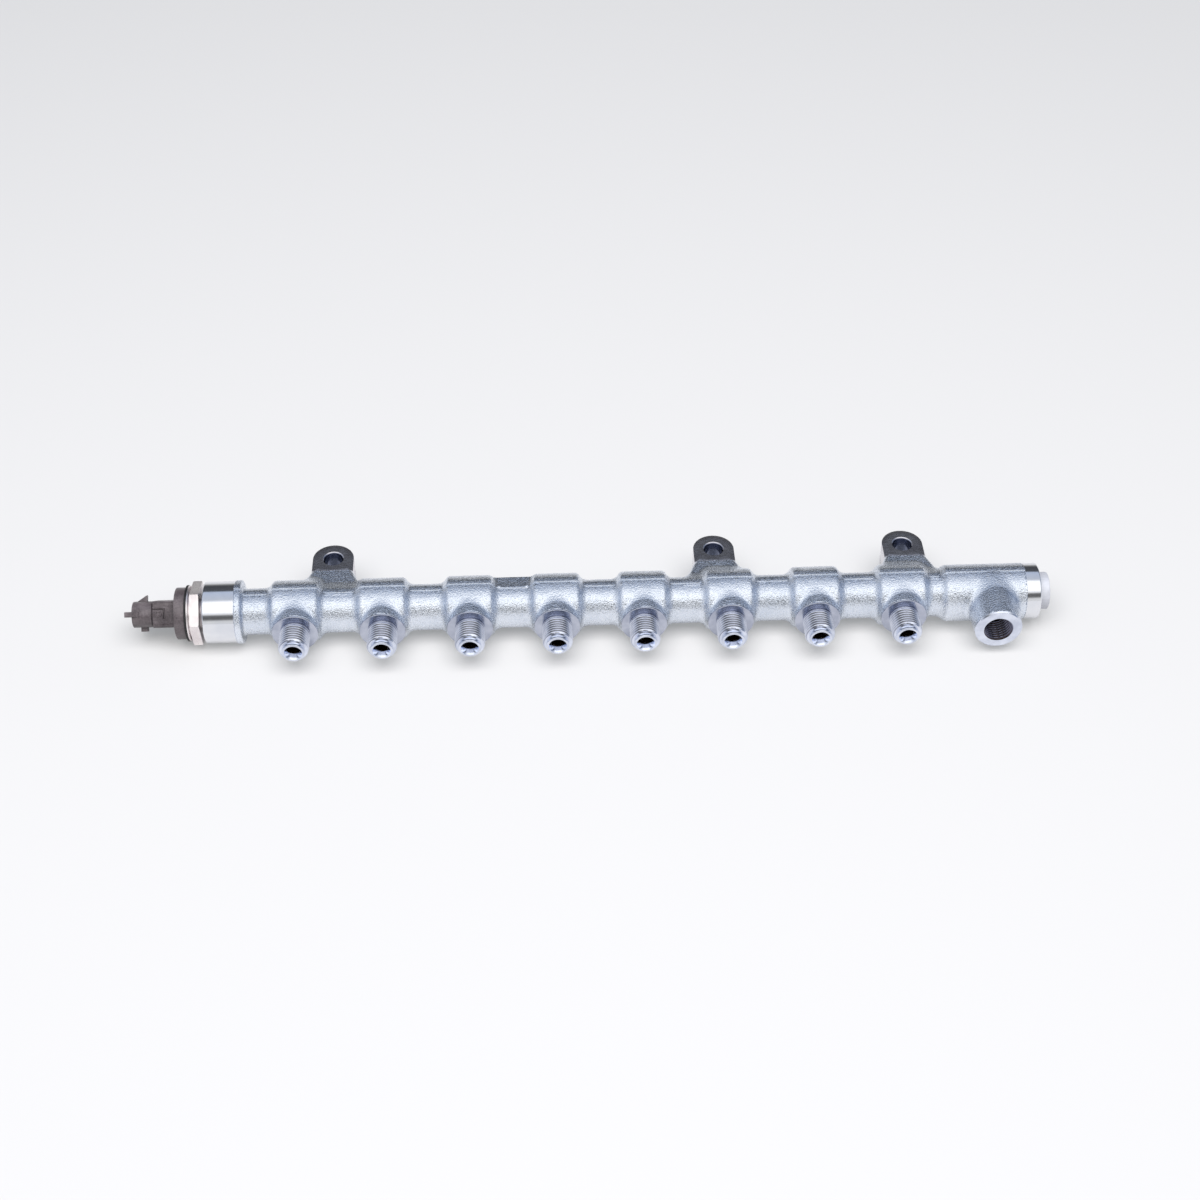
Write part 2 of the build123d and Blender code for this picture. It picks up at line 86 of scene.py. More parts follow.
def shellOf(grid, closeRows=False):
    # Points and quads of a grid of points, row by row.
    return grid.reshape(-1, 3), gridFaces(*grid.shape[:2], closeRows)


def makePiece(name, parts, material, nodes=("rail_body",), normals=None, sharp=32):
    # One object at the origin from shells in bore millimetres: points, quads and, where a shell has them,
    # the marks of painted shade that its material reads from the attribute "deep".
    mesh = bpy.data.meshes.new(name)
    start, points, quads, marks = 0, [], [], []
    for corner, face, *mark in parts:
        points.append(corner.reshape(-1, 3))
        quads.append(face + start)
        marks.append(mark[0] if mark else np.zeros(len(corner)))
        start += len(points[-1])
    points = (np.concatenate(points) + (0, boreY, 0)) * mm
    mesh.from_pydata(points.tolist(), [], np.concatenate(quads).tolist())
    marks = np.concatenate(marks).astype(np.float32)
    if marks.any():
        mesh.attributes.new("deep", "FLOAT", "POINT").data.foreach_set("value", marks)
    if normals is None:
        work = bmesh.new()
        work.from_mesh(mesh)
        bmesh.ops.remove_doubles(work, verts=work.verts, dist=2e-6)
        bmesh.ops.recalc_face_normals(work, faces=work.faces)
        work.to_mesh(mesh)
        work.free()
    mesh.shade_smooth()
    if normals is None:
        mesh.set_sharp_from_angle(angle=math.radians(sharp))
    else:
        mesh.normals_split_custom_set_from_vertices(normals.tolist())
    mesh.materials.append(material)
    piece = bpy.data.objects.new(name, mesh)
    bpy.context.scene.collection.objects.link(piece)
    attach(piece, "root")
    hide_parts(*nodes)
    print("piece", name, len(mesh.vertices), "points")
    return piece


def rounded(corners, radii, steps=4, close=True):
    # Polyline with each corner swapped for a tangent arc: the arc starts and ends at
    # radius * tan(half the turn) from the corner.
    corners = np.array(corners, float)
    radii = np.broadcast_to(np.array(radii, float), len(corners))
    path = []
    for i, corner in enumerate(corners):
        before, after = corners[i - 1] - corner, corners[(i + 1) % len(corners)] - corner
        first, last = np.linalg.norm(before), np.linalg.norm(after)
        if radii[i] <= 0 or (not close and i in (0, len(corners) - 1)):
            path.append(corner)
            continue
        before, after = before / first, after / last
        half = math.acos(np.clip(-before @ after, -1, 1)) / 2
        cut = min(radii[i] * math.tan(half), 0.49 * first, 0.49 * last)
        radius = cut / math.tan(half)
        middle = corner + (before + after) / np.linalg.norm(before + after) * radius / math.cos(half)
        a, b = corner + before * cut - middle, corner + after * cut - middle
        for share in np.linspace(0, 1, steps + 1):
            arm = a * (1 - share) + b * share
            path.append(middle + arm / np.linalg.norm(arm) * radius)
    return np.array(path)


def turnAlong(station, radius, angle):
    # Surface of revolution about the bore: (x, r cos a, r sin a).
    return np.stack(np.broadcast_arrays(station, radius * np.cos(angle), radius * np.sin(angle)), axis=-1)


def turnOut(x, reach, radius, angle):
    # Surface of revolution about an outlet's axis, which points to -y: (x + r sin a, -reach, r cos a).
    place = np.broadcast_arrays(x + radius * np.sin(angle), -reach, radius * np.cos(angle))
    return np.stack(place, axis=-1)


def around(count):
    # Equal angles round a full turn, as one row.
    return np.linspace(0, 2 * math.pi, count, endpoint=False)[None, :]


def blend(a, b, radius):
    # Union with a fillet: outside both, the distance to the circle that touches the two surfaces.
    inCorner = np.hypot(np.maximum(radius - a, 0), np.maximum(radius - b, 0))
    return np.maximum(np.minimum(a, b), radius) - inCorner


def meet(a, b, radius):
    # Intersection with a rounded edge, which is the fillet turned inside out.
    return -blend(-a, -b, radius)


def slopeOf(field, points, gap=0.01):
    # Central differences of the field along x, y and z.
    slope = np.empty_like(points)
    for axis in range(3):
        shift = np.eye(3)[axis] * gap
        slope[:, axis] = (field(*(points + shift).T) - field(*(points - shift).T)) / (2 * gap)
    return slope


def skinOf(field, spans, step, passes=4, flattest=0.2, longest=0.5):
    # Closed mesh of field = 0 on a regular grid: one point in each cell that the surface crosses, at the
    # mean of its crossings, and one quad round each crossed edge. Then each point steps down the slope to
    # zero.
    step, unit = np.array(step, float), np.eye(3, dtype=int)
    axes = [np.arange(low, high + size, size) for (low, high), size in zip(spans, step)]
    value = field(*np.meshgrid(*axes, indexing="ij"))
    size = np.array(value.shape) - 1
    corners = [(i, j, k) for i in (0, 1) for j in (0, 1) for k in (0, 1)]

    def corner(c):
        return value[c[0]:c[0] + size[0], c[1]:c[1] + size[1], c[2]:c[2] + size[2]]

    full = sum((corner(c) < 0).astype(np.int8) for c in corners)
    mixed = (full > 0) & (full < 8)
    number = np.full(size, -1)
    number[mixed] = np.arange(mixed.sum())
    total, hits = np.zeros((mixed.sum(), 3)), np.zeros(mixed.sum())
    for axis in range(3):
        for c in [c for c in corners if c[axis] == 0]:
            a = corner(c)[mixed]
            b = corner(tuple(np.array(c) + unit[axis]))[mixed]
            crossed = (a < 0) != (b < 0)
            place = np.tile(np.array(c, float), (len(a), 1))
            place[:, axis] = np.where(crossed, a / np.where(crossed, a - b, 1), 0)
            total += place * crossed[:, None]
            hits += crossed
    points = np.array([a[0] for a in axes]) + (np.argwhere(mixed) + total / hits[:, None]) * step
    quads = []
    for axis in range(3):
        along, one, two = unit[axis], unit[(axis + 1) % 3], unit[(axis + 2) % 3]
        inside = value < 0
        low = inside[tuple(slice(0, n - d) for n, d in zip(inside.shape, along))]
        high = inside[tuple(slice(d, n) for n, d in zip(inside.shape, along))]
        edge = np.argwhere(low != high)
        keep = np.all((edge - one - two >= 0) | (along == 1), axis=1) & np.all(edge < size, axis=1)
        edge = edge[keep]
        cells = [number[tuple((edge - back).T)] for back in (one + two, two, 0 * one, one)]
        quad = np.stack(cells, axis=-1)
        outward = low[tuple(edge.T)]
        quads.append(np.where(outward[:, None], quad, quad[:, ::-1]))
    for _ in range(passes):
        slope = slopeOf(field, points)
        fall = field(*points.T) / np.maximum((slope ** 2).sum(axis=1), flattest)
        points -= np.clip(fall, -longest, longest)[:, None] * slope
    slope = slopeOf(field, points)
    return points, np.concatenate(quads), slope / np.linalg.norm(slope, axis=1)[:, None]


class Wire:
    # One output socket: sums and products with numbers or other wires add Math nodes.
    def __init__(self, finish, socket):
        self.finish, self.socket = finish, socket

    def join(self, operation, first, second):
        return self.finish.add("ShaderNodeMath", {"operation": operation}, {0: first, 1: second})

    def __add__(self, other):
        return self.join("ADD", self, other)

    def __sub__(self, other):
        return self.join("SUBTRACT", self, other)

    def __rsub__(self, other):
        return self.join("SUBTRACT", other, self)

    def __mul__(self, other):
        return self.join("MULTIPLY", self, other)

    def __truediv__(self, other):
        return self.join("DIVIDE", self, other)

    def __rtruediv__(self, other):
        return self.join("DIVIDE", other, self)

    __radd__ = __add__
    __rmul__ = __mul__


class Finish:
    # A node tree. add() takes a node's type, its settings and the values or wires of its sockets.
    def __init__(self, tree):
        self.tree = tree
        self.places = None

    def add(self, kind, settings=None, sockets=None, out=0):
        node = self.tree.nodes.new(kind)
        for name, value in (settings or {}).items():
            if name == "stops":
                while len(node.color_ramp.elements) < len(value):
                    node.color_ramp.elements.new(1.0)
                for stop, (place, colour) in zip(node.color_ramp.elements, value):
                    stop.position, stop.color = place, colour
            else:
                setattr(node, name, value)
        for name, value in (sockets or {}).items():
            self.feed(node.inputs[name], value)
        return Wire(self, node.outputs[out])

    def feed(self, socket, value):
        if isinstance(value, Wire):
            self.tree.links.new(value.socket, socket)
        else:
            socket.default_value = value

    def noise(self, scale, detail, stretch=(1, 1, 1), roughness=0.5):
        # Noise on object coordinates times stretch: marks are drawn out where it is below 1.
        if self.places is None:
            self.places = self.add("ShaderNodeTexCoord", out="Object")
        where = self.add("ShaderNodeMapping", None, {"Vector": self.places, "Scale": stretch})
        return self.add("ShaderNodeTexNoise", None,
                        {"Vector": where, "Scale": scale, "Detail": detail, "Roughness": roughness}, "Fac")

    def mark(self, name):
        # A number that each point of the mesh carries.
        return self.add("ShaderNodeAttribute", {"attribute_name": name}, None, "Fac")

    def ramp(self, wire, stops):
        return self.add("ShaderNodeValToRGB", {"stops": stops}, {"Fac": wire}, "Color")

    def spread(self, wire, low, high, fromLow=0.0, fromHigh=1.0):
        # Maps a range of the wire to another, held at both ends.
        return self.add("ShaderNodeMapRange", None, {"Value": wire, "From Min": fromLow,
                                                     "From Max": fromHigh, "To Min": low, "To Max": high})

    def mix(self, factor, first, second):
        return self.add("ShaderNodeMix", {"data_type": "RGBA"}, {0: factor, 6: first, 7: second}, 2)

    def clouded(self, cloud, tones, thin=0.35, dense=0.65):
        # Between two tones, by where the cloud lies between thin and dense.
        return self.mix(self.spread(cloud, 0, 1, thin, dense), *tones)

    def bump(self, height, strength, distance):
        return self.add("ShaderNodeBump", None,
                        {"Height": height, "Strength": strength, "Distance": distance})


def surface(name, constants, varying):
    # A material whose Principled node takes constants on its own sockets and wires from varying(finish).
    material = bpy.data.materials.new(name)
    material.use_nodes = True
    finish = Finish(material.node_tree)
    shader = material.node_tree.nodes["Principled BSDF"]
    for socket, value in list(constants.items()) + list(varying(finish).items()):
        finish.feed(shader.inputs[socket], value)
    return material


def grey(value, blue=0.0):
    # Grey that turns blue: red falls and blue rises with the share.
    return (value * (1 - 0.12 * blue), value, value * (1 + 0.25 * blue), 1)


forgedForm = {
    "tones": ((0.64, 0.70, 0.80, 1), (0.85, 0.89, 0.96, 1)), "roughness": (0.16, 0.30),
    "grain": 1650, "dimple": 800, "cloud": 60, "bump": (0.9, 0.0004)}


def forgedZinc(finish):
    # Shot-blasted skin: fine dimples and coarser waves under a thin bluish plating.
    form = forgedForm
    grain = finish.noise(form["grain"], 1, roughness=0.6)
    dimple = finish.noise(form["dimple"], 1)
    cloud = finish.noise(form["cloud"], 2)
    return {"Base Color": finish.clouded(grain * 0.6 + cloud * 0.4, form["tones"], 0.36, 0.62),
            "Roughness": finish.spread(grain, *form["roughness"], 0.35, 0.65),
            "Normal": finish.bump(grain * 0.7 + dimple * 0.3, *form["bump"])}


def cutZinc(form):
    # The tone drifts with a soft cloud; roughness and a faint relief follow fine marks along the cut. As
    # the mark "deep" rises, the tone passes through the painted shade tones, each reached at its share.
    def varying(finish):
        marks = finish.noise(form["marks"], 3, stretch=form["stretch"])
        tone = finish.clouded(finish.noise(form["cloud"], 2), form["tones"])
        roughness = finish.spread(marks, *form["roughness"], 0.3, 0.7)
        start = 0
        # Painted shade: the marked places darken through these tones.
        for share, colour in form.get("paintedShadeTones", []):
            tone = finish.mix(finish.spread(finish.mark("deep"), 0, 1, start, share), tone, colour)
            start = share
        if "deepRoughness" in form:
            roughness = roughness + finish.mark("deep") * form["deepRoughness"]
        return {"Base Color": tone, "Roughness": roughness, "Normal": finish.bump(marks, *form["bump"])}
    return varying


turnedForm = {
    "tones": ((0.76, 0.78, 0.83, 1), (0.86, 0.87, 0.90, 1)), "roughness": (0.06, 0.15),
    "marks": 400, "stretch": (14, 0.3, 0.3), "cloud": 90, "bump": (0.1, 0.00005)}
sensorForm = {
    "tones": ((0.80, 0.74, 0.75, 1), (0.95, 0.90, 0.89, 1)), "roughness": (0.25, 0.42),
    "marks": 420, "stretch": (8, 0.6, 0.6), "cloud": 150, "bump": (0.15, 0.0001)}
# Outlets: painted shade, navy in the thread's grooves and dark brown in the bore. Lugs: painted shade,
# dark, and smoother in the hole.
mirrorForm = {
    "tones": ((0.62, 0.66, 0.77, 1), (0.80, 0.84, 0.95, 1)), "roughness": (0.08, 0.16),
    "marks": 500, "stretch": (0.3, 10, 0.3), "cloud": 200, "bump": (0.05, 0.00005),
    "paintedShadeTones": [(0.5, (0.12, 0.125, 0.19, 1)), (1, (0.085, 0.054, 0.034, 1))],
    "deepRoughness": 0.3}
milledForm = {
    "tones": ((0.66, 0.64, 0.68, 1), (0.80, 0.78, 0.81, 1)), "roughness": (0.16, 0.30),
    "marks": 350, "stretch": (1, 8, 1), "cloud": 120, "bump": (0.15, 0.00008),
    "paintedShadeTones": [(1, (0.20, 0.22, 0.30, 1))], "deepRoughness": -0.08}
plasticForm = {
    "tones": ((0.038, 0.030, 0.034, 1), (0.135, 0.115, 0.122, 1)), "roughness": (0.28, 0.44),
    "grain": 1400, "cloud": 120, "bump": (0.4, 0.00018)}


def mouldedPlastic(finish):
    # Dark moulding: speckles of the grain over a soft cloud.
    form = plasticForm
    grain = finish.noise(form["grain"], 3)
    cloud = finish.noise(form["cloud"], 2)
    return {"Base Color": finish.clouded(cloud + grain * 0.5, form["tones"], 0.55, 0.95),
            "Roughness": finish.spread(grain, *form["roughness"], 0.35, 0.65),
            "Normal": finish.bump(grain, *form["bump"])}


def plain(tones, roughness, scale=200, bump=(0.1, 0.0001)):
    # One soft cloud drives tone, roughness and a faint relief.
    def varying(finish):
        cloud = finish.noise(scale, 3)
        return {"Base Color": finish.clouded(cloud, tones),
                "Roughness": finish.spread(cloud, *roughness, 0.35, 0.65),
                "Normal": finish.bump(cloud, *bump)}
    return varying


metal, dull = {"Metallic": 1.0}, {"IOR": 1.5}
forged = surface("forgedZinc", metal, forgedZinc)
turned = surface("turnedZinc", metal, cutZinc(turnedForm))
outlet = surface("outletZinc", metal, cutZinc(mirrorForm))
milled = surface("milledZinc", metal, cutZinc(milledForm))
pale = surface("paleZinc", {"Metallic": 0.35},
               plain(((0.52, 0.53, 0.58, 1), (0.59, 0.60, 0.65, 1)), (0.42, 0.55), 300, (0.15, 0.0001)))
steel = surface("sensorSteel", metal, cutZinc(sensorForm))
plastic = surface("mouldedPlastic", dull, mouldedPlastic)
ground = surface("groundSteel", metal, plain(((0.42, 0.42, 0.45, 1), (0.52, 0.52, 0.55, 1)), (0.14, 0.26)))
softIron = surface("softIron", metal, plain(((0.30, 0.30, 0.31, 1), (0.38, 0.38, 0.39, 1)), (0.39, 0.51)))
insulator = surface("insulator", dull, plain(((0.60, 0.57, 0.50, 1), (0.70, 0.67, 0.60, 1)), (0.44, 0.56)))
solderResist = surface("solderResist", dull,
                       plain(((0.02, 0.12, 0.06, 1), (0.03, 0.17, 0.08, 1)), (0.24, 0.36)))
rubber = surface("gasketRubber", {"IOR": 1.45},
                 plain(((0.010, 0.010, 0.011, 1), (0.018, 0.017, 0.018, 1)), (0.49, 0.61)))
tin = surface("tinPlate", metal, plain(((0.62, 0.61, 0.58, 1), (0.72, 0.71, 0.68, 1)), (0.19, 0.31)))
print("materials made")


# The forging, in millimetres from the bore. Draft angles are in degrees.
railForm = {
    "neckRadius": 10.8, "blockRadius": 14.2, "blockCrown": 20.4, "blockRoot": 25.2,
    "crownRound": 1.0, "rootRound": 1.6, "shoulderRadius": 14.9, "shoulderWidth": 3.2,
    "spigotRadius": 14.5, "spigotLength": 14.65, "sectionRadius": 13.35, "sectionSlope": 2.6,
    "portNeck": 5.7, "tailRadius": 13.2, "tailLength": 6.9, "boreRadius": 5.0,
    "steps": (1.0, 0.78, 0.78)}
outletForm = {
    "bossRadius": 10.65, "draft": 4.0, "face": 16.1, "edge": 0.7, "fillet": 1.3,
    "reliefRadius": 6.5, "reliefEnd": 16.9, "rootFillet": 0.35, "lead": 0.4, "threadRadius": 7.0,
    "threadEnd": 26.6, "endChamfer": 0.65, "pilotRadius": 5.25, "pilotEdge": 0.5, "noseEnd": 29.1,
    "coneRadius": 4.2, "coneAngle": 30, "boreRadius": 2.3, "drillRadius": 1.5, "seat": 7.0,
    "rise": 0.2, "tipRounds": (0.1, 0.15), "boreEnds": (0.05, 0.15)}
portForm = {
    "faceRadius": 10.9, "draft": 3.6, "face": 26.0, "edge": 0.6, "fillet": 2.2, "coreRadius": 6.2,
    "threadDepth": 0.8, "threadEnd": 12.0, "mouthChamfer": 0.4, "coneEnd": 2.0, "coneAngle": 60,
    "drillRadius": 1.75, "threadStep": 0.1, "crestShare": 0.12, "flankShare": 0.7,
    "fadeStart": 1, "fadeLength": 2, "paintedThreadShade": 0.38, "paintedGrooveShade": 0.6,
    "rise": 0.3, "rimRound": 0.2, "mouthRim": (0.35, 0.3)}
lugForm = {
    "endRadius": 9.75, "top": 8.0, "bottom": -4.0, "millFront": 17.45, "forgeTop": 9.3,
    "forgeBottom": -5.3, "rootWidth": 30.0, "rootReach": 4.5, "webRound": 2.0, "fillet": 2.2,
    "edge": 0.25, "edgeShare": 0.3, "holeRadius": 4.5, "holeChamfer": 0.45, "tuck": 0.5,
    "plate": 0.3, "steps": 192}
padForm = {"top": 11.2, "reach": 7.4, "round": 0.8, "fillet": 1.0, "afterOutlet": 2}
waveForm = {"height": 0.022, "long": (2.9, 2.3, 3.1), "sway": (1.3, 3.7), "short": (1.31, 1.7, 1.23)}
shellForm = {
    "pocketWall": 2.0,       # wall of the machined shells inside the bosses
    "lap": 0.6,              # how far the machined shells reach down over the raw skin
    "proud": 0.015,          # and how far they stand over it there
    "clear": 0.05,           # by which the skin's pockets are narrower than the shells
    "boreGap": (0.1, 0.2),   # how far the skin's pockets and the shells end inside the bore
    "under": (0.3, 0.5),     # further down and in, where a shell starts below its lap
    "roundSteps": 96}        # points round an outlet, twice as many round the bore

shoulderLeft = spigotFace + railForm["spigotLength"]
shoulderRight = shoulderLeft + railForm["shoulderWidth"]
sectionLeft = outletX[-1] + railForm["blockRoot"] / 2 + railForm["portNeck"]
sectionRight = tailFace - railForm["tailLength"]


def nearestOutlet(x):
    # Distance along x to the outlet that is nearest.
    number = np.clip(np.rint((x - outletX[0]) / pitch), 0, len(outletX) - 1).astype(int)
    return x - outletX[number]


def slab(value, low, high):
    # Distance to what lies between two values.
    return np.maximum(low - value, value - high)


def coneSide(radial, reach, faceRadius, face, draft):
    # Distance to a drafted boss that widens from its face towards the bore.
    angle = math.radians(draft)
    return (radial - faceRadius - (face - reach) * math.tan(angle)) * math.cos(angle)


def rampSide(run, rho, foot, top, length):
    # Distance to a cone that climbs from the foot radius to the top radius over a length.
    rise = top - foot
    return (run * rise + (rho - foot) * length) / math.hypot(rise, length)


def turnedCore(x, rho):
    # Round neck, filleted to the blocks, the shoulder and the inlet section.
    form = railForm
    neck = form["neckRadius"]
    slope = (form["blockRoot"] - form["blockCrown"]) / 2
    run = np.abs(nearestOutlet(x)) - form["blockRoot"] / 2
    block = meet(rho - form["blockRadius"], rampSide(run, rho, neck, form["blockRadius"], slope),
                 form["crownRound"])
    shoulder = meet(rho - form["shoulderRadius"], x - shoulderRight, form["crownRound"])
    ramp = rampSide(sectionLeft - x, rho, neck, form["sectionRadius"], form["sectionSlope"])
    section = meet(rho - form["sectionRadius"], ramp, form["crownRound"])
    return blend(rho - neck, np.minimum(np.minimum(block, shoulder), section), form["rootRound"])


def addBoss(body, radial, y, faceRadius, form):
    # Drafted boss along -y, cut short of its machined face and joined by a fillet.
    boss = coneSide(radial, -y, faceRadius, form["face"], form["draft"])
    boss = np.maximum(boss, np.maximum(-y - form["face"] + shellForm["lap"], y))
    return blend(body, boss, form["fillet"])


def pocketFor(radial, y, radius):
    # Room for a machined shell: a cylinder of that radius and the shell's wall, from the bore outwards.
    wall = radius + shellForm["pocketWall"] - shellForm["clear"]
    return np.maximum(radial - wall, railForm["boreRadius"] - shellForm["boreGap"][0] + y)


def addWebs(body, x, y, z):
    # Webs that carry the lugs, tapering in plan from the root's width to the lug's, with rounded edges.
    form = lugForm
    top, bottom = form["forgeTop"], form["forgeBottom"]
    flare = (form["rootWidth"] / 2 - form["endRadius"]) / (form["millFront"] - form["rootReach"])
    for place in lugX:
        side = np.abs(x - place) - form["endRadius"] - (form["millFront"] - y) * flare
        web = meet(side / math.hypot(1, flare), slab(z, bottom, top), form["webRound"])
        web = np.maximum(web, np.maximum(y - form["millFront"], -y))
        body = blend(body, web, form["fillet"])
    return body


def addPad(body, x, y, z):
    # Flat pad on top of one neck, between two blocks.
    form = padForm
    middle = outletX[form["afterOutlet"]] + pitch / 2
    pad = np.maximum(np.abs(x - middle) - (pitch - lugForm["endRadius"]) / 2, np.maximum(-y, -z))
    pad = np.maximum(pad, meet(y - form["reach"], z - form["top"], form["round"]))
    return blend(body, pad, form["fillet"])


def dieWaves(x, y, z):
    # Unevenness of a forged skin: a long swaying wave and a short one, both products of sines.
    long, sway, short = waveForm["long"], waveForm["sway"], waveForm["short"]
    wave = np.sin(x / long[0] + sway[0] * np.sin(z / sway[1])) * np.sin(y / long[1] + z / long[2])
    return waveForm["height"] * (wave + np.sin(x / short[0] + y / short[1]) * np.sin(z / short[2]))


def forging(x, y, z):
    # Core, bosses, webs and pad, uneven by a few hundredths, less the bore and the shells' pockets.
    rho = np.hypot(y, z)
    outletRadial, portRadial = np.hypot(nearestOutlet(x), z), np.hypot(x - inletX, z)
    body = addBoss(turnedCore(x, rho), outletRadial, y, outletForm["bossRadius"], outletForm)
    body = addBoss(body, portRadial, y, portForm["faceRadius"], portForm)
    body = addPad(addWebs(body, x, y, z), x, y, z) + dieWaves(x, y, z)
    pockets = np.minimum(pocketFor(outletRadial, y, outletForm["boreRadius"]),
                         pocketFor(portRadial, y, portForm["coreRadius"] + portForm["threadDepth"]))
    ends = np.maximum(shoulderLeft - x, x - sectionRight)
    return np.maximum(np.maximum(body, ends), np.maximum(railForm["boreRadius"] - rho, -pockets))


spans = [(shoulderLeft - 2, sectionRight + 2), (-portForm["face"] - 1, lugForm["millFront"] + 2), (-17, 17)]
points, quads, normals = skinOf(forging, spans, railForm["steps"])
makePiece("forgedSkin", [(points, quads)], forged, normals=normals)
print("forging made")


landForm = {"front": -0.6, "back": 2.4, "height": 0.35, "edge": 0.16, "sunk": 1.2}


def landPath(extra):
    # Radius of the raw outline along the rail, a little over it, with the die's rounded corners.
    form = railForm
    names = ("neckRadius", "blockRadius", "shoulderRadius", "sectionRadius")
    neck, block, shoulder, section = (form[name] for name in names)
    crown, root = form["blockCrown"] / 2, form["blockRoot"] / 2
    edge, fillet = form["crownRound"], form["rootRound"]
    corners = [(shoulderLeft, shoulder), (shoulderRight, shoulder), (shoulderRight, neck)]
    radii = [0, edge, fillet]
    for x in outletX:
        corners += [(x - root, neck), (x - crown, block), (x + crown, block), (x + root, neck)]
        radii += [fillet, edge, edge, fillet]
    corners += [(sectionLeft, neck), (sectionLeft + form["sectionSlope"], section), (sectionRight, section)]
    radii += [fillet, edge, 0]
    return rounded([(x, r + extra) for x, r in corners], radii, 6, close=False)


def landShell(side):
    # The trimmed flash: a low section with rounded edges carried along the outline, above or below.
    form = landForm
    path = landPath(form["height"])
    front, back, foot, edge = form["front"], form["back"], -form["sunk"], form["edge"]
    section = rounded([(front, foot), (front, 0), (back, 0), (back, foot)], [0, edge, edge, 0], 3)
    grid = np.empty((len(path), len(section), 3))
    grid[..., 0] = path[:, :1]
    grid[..., 1] = section[None, :, 0]
    grid[..., 2] = side * (path[:, 1:] + section[None, :, 1])
    return shellOf(grid)


def capped(grid, faces):
    # Adds a fan to each end of an open tube of rows.
    rows, columns = grid.shape[:2]
    points = np.concatenate([grid.reshape(-1, 3), grid[0].mean(axis=0)[None], grid[-1].mean(axis=0)[None]])
    column = np.arange(columns)
    after, last = (column + 1) % columns, (rows - 1) * columns
    hub, farHub = np.full(columns, rows * columns), np.full(columns, rows * columns + 1)
    first = np.stack([after, column, hub, hub], axis=-1)
    end = np.stack([last + column, last + after, farHub, farHub], axis=-1)
    return points, np.concatenate([faces, first, end])


# Outside thread. A ridge is given by its share of the pitch and its share of the depth.
threadForm = {
    # The groove's tone darkens the thread's grooves and the face's tone darkens the boss face, both as
    # painted shade.
    "pitch": 1.5, "depth": 0.80, "paintedGrooveShade": 0.4, "paintedFaceShade": 0.19,
    "ridge": [(0.0, 0.0), (0.07, 0.02), (0.13, 0.10), (0.35, 0.78), (0.42, 0.95), (0.5, 1.0),
              (0.58, 0.95), (0.65, 0.78), (0.87, 0.10), (0.93, 0.02)]}


def threadShell(x, start, end, profile):
    # Rows follow the helix: a row's reach grows by one pitch over a turn, held between the two ends, so the
    # last column joins the first a pitch further on. The radius is the smaller of the turned profile and
    # the ridges. The grooves are marked for painted shade.
    step, depth, steps = threadForm["pitch"], threadForm["depth"], shellForm["roundSteps"]
    shares, heights = np.array(threadForm["ridge"]).T
    turns = math.ceil((end - start) / step) + 2
    perTurn = len(shares)
    row = start - step + ((np.arange(turns)[:, None] + shares) * step).reshape(-1, 1)
    angle = around(steps)
    reach = row + step * angle / (2 * math.pi)
    held = (reach <= start) | (reach >= end)
    reach = np.clip(reach, start, end)
    sunk = 1 - np.tile(heights, turns)[:, None]
    turnedTo = np.interp(reach, *np.array(profile).T)
    radius = np.where(held, turnedTo, np.minimum(turnedTo, outletForm["threadRadius"] - depth * sunk))
    grid = turnOut(x, reach, radius, angle)
    rows = len(row) - perTurn
    quads = gridFaces(rows, steps).reshape(rows - 1, steps, 4)
    quads[:, -1, 1] += perTurn * steps
    quads[:, -1, 2] += perTurn * steps
    # Painted shade, deepest at the bottom of each groove.
    marks = np.where(held, 0, threadForm["paintedGrooveShade"] * sunk)
    return grid.reshape(-1, 3), quads.reshape(-1, 4), marks.reshape(-1)


def bossSide(faceRadius, form, pocket):
    # Radius of a boss's shell at its face, and the start of its profile, from the pocket to the side.
    down, inward = shellForm["under"]
    lap, side = form["face"] - shellForm["lap"] - down, faceRadius + shellForm["proud"]
    low = side + (form["face"] - lap) * math.tan(math.radians(form["draft"]))
    return side, [(lap, pocket), (lap, low - inward), (lap + form["rise"], low)]


